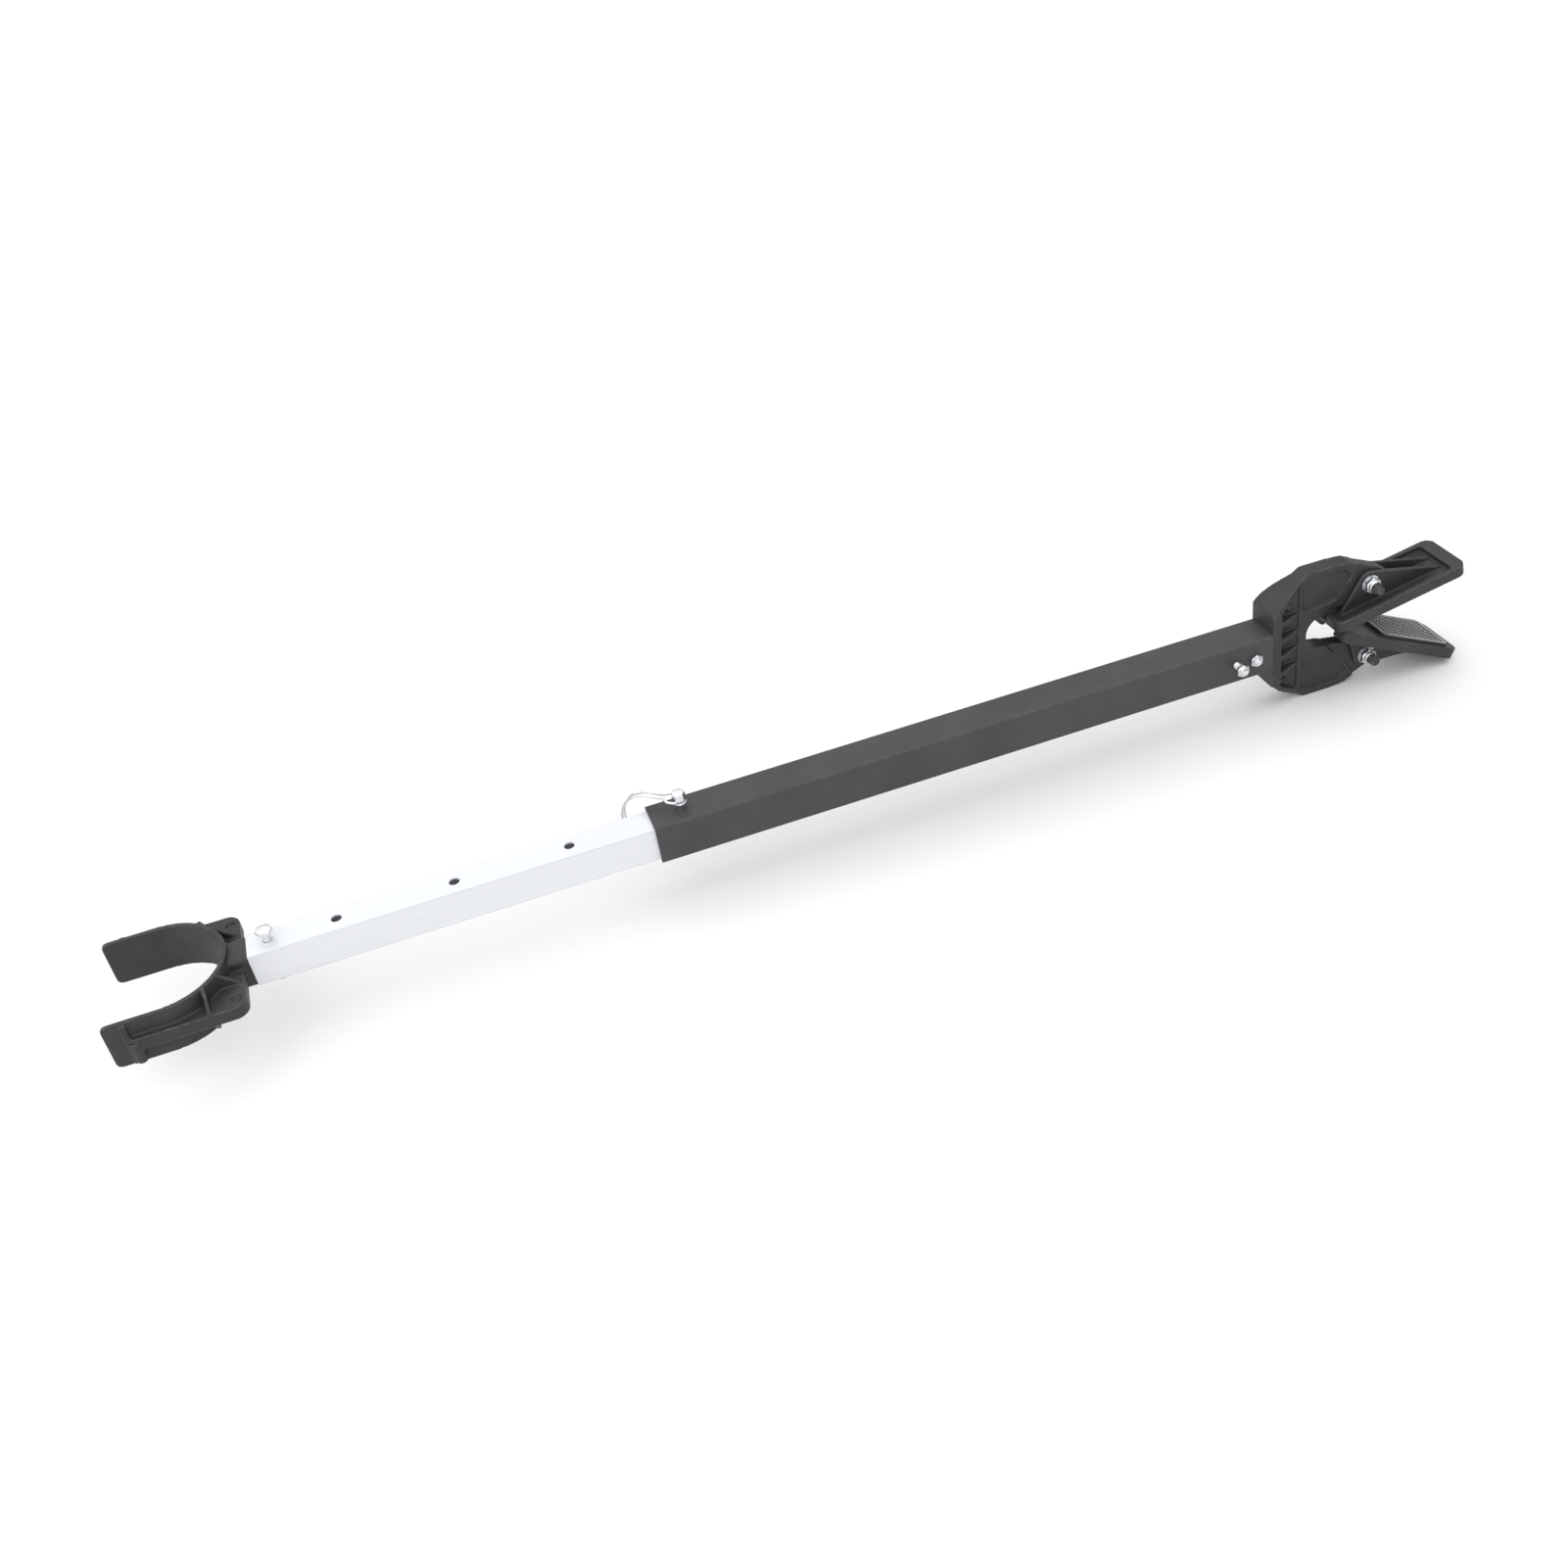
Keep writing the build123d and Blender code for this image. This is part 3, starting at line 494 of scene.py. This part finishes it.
def build_drawn_lines():
    """Lines left by drawing a tube through its die: noise stretched a hundredfold along the bar."""
    tree, into, out = new_group("drawn_lines", [("Vector", "NodeSocketVector", None),
                                                ("Scale", "NodeSocketFloat", 900.0)], ["Height", "Shade"])
    along_bar = [("Vector", into.outputs["Vector"]), ("Scale", (0.012, 1.0, 1.0))]
    stretched = put(tree, "ShaderNodeMapping", along_bar)
    lines = noise(tree, stretched.outputs["Vector"], into.outputs["Scale"], 4.0, 0.6)
    tree.links.new(lines, out.inputs["Height"])
    tree.links.new(ramp(tree, lines, 0.35, 0.65), out.inputs["Shade"])
    return tree


def build_handling():
    """Handling marks: broad soft smears and sparse fine scratches across the bar."""
    inputs = [("Vector", "NodeSocketVector", None)]
    tree, into, out = new_group("handling_marks", inputs, ["Smear", "Scratch"])
    vector = into.outputs["Vector"]
    smear = ramp(tree, noise(tree, vector, 14.0, 5.0, 0.6), 0.42, 0.70)
    turned = put(tree, "ShaderNodeMapping", [("Vector", vector), ("Rotation", (0.4, 0.2, 0.7)),
                                             ("Scale", (1.0, 0.02, 1.0))])
    lines = noise(tree, turned.outputs["Vector"], 700.0, 2.0, 0.5)
    sparse = ramp(tree, noise(tree, vector, 60.0, 2.0), 0.58, 0.66)
    scratch = maths(tree, "MULTIPLY", ramp(tree, lines, 0.70, 0.76), sparse)
    tree.links.new(smear, out.inputs["Smear"])
    tree.links.new(scratch, out.inputs["Scratch"])
    return tree


GRAIN = build_grain()
EDGE_WEAR_AND_HIGHLIGHT = build_edge_wear_and_highlight()
DRAWN_LINES = build_drawn_lines()
HANDLING = build_handling()


# ======================================================================================
# materials
# ======================================================================================
def linear(red, green, blue):
    """A colour from its usual 0 to 255 values, in linear light."""
    share = np.array((red, green, blue)) / 255.0
    value = np.where(share <= 0.04045, share / 12.92, ((share + 0.055) / 1.055) ** 2.4)
    return (*(float(v) for v in value), 1.0)


def start_material(name):
    material = bpy.data.materials.new(name)
    material.use_nodes = True
    tree = material.node_tree
    shader = tree.nodes["Principled BSDF"]
    place = tree.nodes.new("ShaderNodeTexCoord").outputs["Object"]
    return material, tree, shader, place


def use_group(tree, group, **links):
    node = tree.nodes.new("ShaderNodeGroup")
    node.node_tree = group
    for label, source in links.items():
        if isinstance(source, bpy.types.NodeSocket):
            tree.links.new(source, node.inputs[label])
        else:
            node.inputs[label].default_value = source
    return node.outputs


def blended(tree, share, first, second):
    """One colour going over to another by a mask."""
    node = put(tree, "ShaderNodeMix", [("Factor", share)], data_type="RGBA")
    sockets = [s for s in node.inputs if s.type == "RGBA"]
    for socket, value in zip(sockets, (first, second)):
        if isinstance(value, bpy.types.NodeSocket):
            tree.links.new(value, socket)
        else:
            socket.default_value = value
    return [s for s in node.outputs if s.type == "RGBA"][0]


def bumped(tree, shader, height, strength, distance):
    """Feeds a height to the shader's normal."""
    node = put(tree, "ShaderNodeBump", [("Height", height), ("Strength", strength), ("Distance", distance)])
    tree.links.new(node.outputs["Normal"], shader.inputs["Normal"])


def moulded(name, dark, pale, paler_tone, rough, grain_scale, grain_depth, wear_and_highlight=(0.52, 0.58), groove_shading=None):
    """Injection-moulded plastic or rubber: two close greys in slow clouds, fine grain, and paler edges that
    are partly rub wear and partly painted highlight.
    The last argument, when given, holds a face's origin, its direction and the depth over which painted shade
    darkens the tread's hollows below that face."""
    material, tree, shader, place = start_material(name)
    grain = use_group(tree, GRAIN, Vector=place, Scale=grain_scale)
    edge = use_group(tree, EDGE_WEAR_AND_HIGHLIGHT, Vector=place, Start=wear_and_highlight[0], End=wear_and_highlight[1])
    marks = use_group(tree, HANDLING, Vector=place)
    base = blended(tree, grain["Shade"], dark, pale)
    # paler edges from the pointiness mask: partly rub wear, partly painted highlight along the rounded edges
    base = blended(tree, maths(tree, "MULTIPLY", edge["Mask"], 0.75), base, paler_tone)
    if groove_shading:
        origin, direction, depth = groove_shading
        level = put(tree, "ShaderNodeVectorMath", [(0, place), (1, tuple(direction))],
                    operation="DOT_PRODUCT")
        face = float(np.dot(origin, direction))
        # painted shade: the tread's grooves below the face are darkened towards near black (26, 26, 27)
        groove_shade = ramp(tree, level.outputs["Value"], face - 0.1 * MM, face - 0.6 * depth)
        base = blended(tree, maths(tree, "MULTIPLY", groove_shade, 0.95), base, linear(26, 26, 27))
    base = blended(tree, maths(tree, "MULTIPLY", marks["Scratch"], 0.35), base, paler_tone)
    tree.links.new(base, shader.inputs["Base Color"])
    smeared = maths(tree, "MULTIPLY", marks["Smear"], -0.10)
    polished = maths(tree, "MULTIPLY", edge["Mask"], -0.12)
    total = maths(tree, "ADD", maths(tree, "ADD", smeared, polished), rough, clamp=True)
    tree.links.new(total, shader.inputs["Roughness"])
    shader.inputs["Specular IOR Level"].default_value = 0.35
    bumped(tree, shader, grain["Height"], 0.35, grain_depth)
    return material


def powder_coat():
    """Satin black coating on the outer tube: orange-peel height, specks, and faintly paler corners and end."""
    material, tree, shader, place = start_material("black_powder_coat")
    grain = use_group(tree, GRAIN, Vector=place, Scale=1500.0)
    marks = use_group(tree, HANDLING, Vector=place)
    low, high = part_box("outer_tube")
    apart = put(tree, "ShaderNodeSeparateXYZ", [("Vector", place)])
    half = high[1]
    sides = [maths(tree, "ABSOLUTE", apart.outputs[axis]) for axis in ("Y", "Z")]
    corner = ramp(tree, maths(tree, "ADD", *sides), 2 * half - 2.4 * MM, 2 * half - 1.3 * MM)
    end = ramp(tree, apart.outputs["X"], low[0] + 1.2 * MM, low[0])
    broken = ramp(tree, noise(tree, place, 240.0, 4.0), 0.40, 0.62)
    paler_tone = maths(tree, "MULTIPLY", maths(tree, "MAXIMUM", corner, end), broken)
    base = blended(tree, grain["Shade"], linear(60, 60, 63), linear(65, 65, 68))
    base = blended(tree, maths(tree, "MULTIPLY", paler_tone, 0.12), base, linear(104, 104, 107))
    base = blended(tree, maths(tree, "MULTIPLY", marks["Scratch"], 0.30), base, linear(120, 120, 122))
    base = blended(tree, maths(tree, "MULTIPLY", grain["Speck"], 0.10), base, linear(96, 96, 100))
    tree.links.new(base, shader.inputs["Base Color"])
    rough = maths(tree, "ADD", maths(tree, "MULTIPLY", marks["Smear"], -0.08), 0.50, clamp=True)
    tree.links.new(rough, shader.inputs["Roughness"])
    shader.inputs["Specular IOR Level"].default_value = 0.35
    bumped(tree, shader, grain["Height"], 0.22, 0.05 * MM)
    return material


def anodised():
    """Silver anodised aluminium with faint drawing lines and slow cloud along the bar, and painted shade
    darkening its corners.
    """
    material, tree, shader, place = start_material("silver_anodised")
    lines = use_group(tree, DRAWN_LINES, Vector=place, Scale=900.0)
    marks = use_group(tree, HANDLING, Vector=place)
    base = blended(tree, lines["Shade"], linear(219, 221, 225), linear(223, 225, 229))
    base = blended(tree, maths(tree, "MULTIPLY", marks["Scratch"], 0.30), base, linear(190, 193, 198))
    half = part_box("inner_tube")[1][1]
    apart = put(tree, "ShaderNodeSeparateXYZ", [("Vector", place)])
    sides = [maths(tree, "ABSOLUTE", apart.outputs[axis]) for axis in ("Y", "Z")]
    corner = ramp(tree, maths(tree, "ADD", *sides), 2 * half - 1.6 * MM, 2 * half - 0.9 * MM)
    # painted shade: the tube's corners are darkened towards grey (168, 170, 175)
    base = blended(tree, maths(tree, "MULTIPLY", corner, 0.45), base, linear(168, 170, 175))
    tree.links.new(base, shader.inputs["Base Color"])
    shader.inputs["Metallic"].default_value = 0.30
    rough = maths(tree, "ADD", maths(tree, "MULTIPLY", lines["Shade"], 0.06), 0.40, clamp=True)
    tree.links.new(rough, shader.inputs["Roughness"])
    bumped(tree, shader, lines["Height"], 0.12, 0.02 * MM)
    return material


def plated(name, bright, dull, rough, grain_scale=700.0):
    """Plated or blackened steel: two metal shades in a fine cloud, with a fine grain in the height."""
    material, tree, shader, place = start_material(name)
    grain = use_group(tree, GRAIN, Vector=place, Scale=grain_scale)
    marks = use_group(tree, HANDLING, Vector=place)
    cloud = ramp(tree, noise(tree, place, 260.0, 3.0), 0.35, 0.65)
    base = blended(tree, cloud, dull, bright)
    tree.links.new(base, shader.inputs["Base Color"])
    shader.inputs["Metallic"].default_value = 1.0
    total = maths(tree, "ADD", maths(tree, "MULTIPLY", marks["Smear"], 0.10), rough, clamp=True)
    tree.links.new(total, shader.inputs["Roughness"])
    bumped(tree, shader, grain["Height"], 0.05, 0.02 * MM)
    return material


FINISHES = {
    "black_powder_coat": powder_coat(),
    "moulded_nylon": moulded("moulded_nylon", linear(45, 45, 47), linear(52, 52, 54),
                             linear(104, 104, 106), 0.52, 2400.0, 0.06 * MM),
    "silver_anodised": anodised(),
    "zinc_steel": plated("zinc_steel", linear(228, 230, 232), linear(214, 216, 219), 0.24),
    "dark_steel": plated("dark_steel", linear(92, 92, 92), linear(66, 66, 66), 0.34),
    "grip_rubber": moulded("grip_rubber", linear(122, 122, 123), linear(134, 134, 135),
                           linear(150, 150, 151), 0.74, 3000.0, 0.05 * MM),
    "pale_nylon": moulded("pale_nylon", linear(196, 194, 186), linear(206, 204, 198),
                          linear(220, 219, 214), 0.45, 2600.0, 0.03 * MM),
}


def dress_frame():
    """Every CAD node takes the finish that the record names for it."""
    for part in frame["record"]["subparts"]:
        piece = NODES[part["node"]]
        if not piece.material_slots:
            piece.data.materials.append(None)
        for place in piece.material_slots:
            place.link = "OBJECT"
            place.material = FINISHES[part["material_slot"]]


# ======================================================================================
# the object
# ======================================================================================
dress_frame()
for name in ("fork", "jaw_frame", "upper_pad", "lower_pad"):
    soften(name)

zinc, dark = FINISHES["zinc_steel"], FINISHES["dark_steel"]
lock_pin(zinc)
make_piece("lock_bail_wire", *wire_tube(bail_line(), WIRE_RADIUS), zinc, "bail", "zinc_steel", ["lock_bail"])

for level, side in (("upper", 1), ("lower", -1)):
    grip(level, side)
    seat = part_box(level + "_pivot_washers")[1][1]
    bolt(level + "_pivot_bolt", 1, 1, seat, PIVOT_HEAD, PIVOT_SHANK, PIVOT_PITCH, dark, "outer",
         "dark_steel", SIDE_THREAD)
    nut(level + "_pivot_nut", 1, -1, PIVOT_BORE, zinc, "outer", "zinc_steel")

for place in ("inboard", "outboard"):
    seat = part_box("jaw_bolt_washers")[1][1]
    bolt("jaw_bolt_" + place, 1, 1, seat, JAW_HEAD, JAW_SHANK, JAW_PITCH, zinc, "outer", "zinc_steel",
         SIDE_THREAD)
    nut("jaw_nut_" + place, 1, -1, JAW_SHANK, zinc, "outer", "zinc_steel")

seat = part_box("fork_bolt")[1][2] - FORK_HEAD
bolt("fork_bolt", 2, 1, seat, FORK_HEAD, FORK_SHANK, FORK_PITCH, zinc, "inner", "zinc_steel", FORK_THREAD)
nut("fork_nut", 2, -1, FORK_SHANK, zinc, "inner", "zinc_steel")


# ======================================================================================
# floor, lights and camera
# ======================================================================================
def floor(level):
    """A pale sheet under the object, with a slow grain so that it isn't one flat tone."""
    span = 12.0
    corners = [(-span, -span, level), (span, -span, level), (span, span, level), (-span, span, level)]
    mesh = bpy.data.meshes.new("floor")
    mesh.from_pydata(corners, [], [(0, 1, 2, 3)])
    sheet = bpy.data.objects.new("floor", mesh)
    bpy.context.scene.collection.objects.link(sheet)
    material, tree, shader, place = start_material("floor_paper")
    shade = ramp(tree, noise(tree, place, 3.0), 0.3, 0.7)
    base = blended(tree, shade, linear(232, 232, 232), linear(235, 235, 235))
    tree.links.new(base, shader.inputs["Base Color"])
    shader.inputs["Roughness"].default_value = 0.9
    shader.inputs["Specular IOR Level"].default_value = 0.1
    mesh.materials.append(material)


def soft_light(name, place, aim, size, watts):
    lamp = bpy.data.lights.new(name, "AREA")
    lamp.shape = "SQUARE"
    lamp.size = size
    lamp.energy = watts
    holder = bpy.data.objects.new(name, lamp)
    holder.location = place
    holder.rotation_euler = (Vector(aim) - Vector(place)).to_track_quat("-Z", "Y").to_euler()
    bpy.context.scene.collection.objects.link(holder)


middle = (CAD_BOX[0] + CAD_BOX[1]) / 2
floor(CAD_BOX[0][2] - 0.5 * MM)
sky = bpy.data.lights.new("overhead_diffuser", "SUN")
sky.energy = 3.3
sky.angle = np.radians(140.0)
overhead = bpy.data.objects.new("overhead_diffuser", sky)
overhead.rotation_euler = Euler(np.radians((8.0, -14.0, 0.0)), "XYZ")
bpy.context.scene.collection.objects.link(overhead)
soft_light("side_softbox", middle + Vector((-1.0, -1.6, 1.4)), middle, 1.2, 3.0)

scene = bpy.context.scene
scene.view_settings.view_transform = "Standard"
world = bpy.data.worlds.new("studio")
scene.world = world
world.use_nodes = True
world.node_tree.nodes["Background"].inputs["Color"].default_value = (1, 1, 1, 1)
world.node_tree.nodes["Background"].inputs["Strength"].default_value = 0.34

camera = bpy.data.objects.new("camera", bpy.data.cameras.new("camera"))
camera.data.lens = 38.782
camera.data.sensor_width = 36.0
camera.location = (0.2931, -1.1840, 0.8765)
camera.rotation_euler = Euler(np.radians((53.9965, 8.2949, -18.0794)), "XYZ")
scene.collection.objects.link(camera)
scene.camera = camera
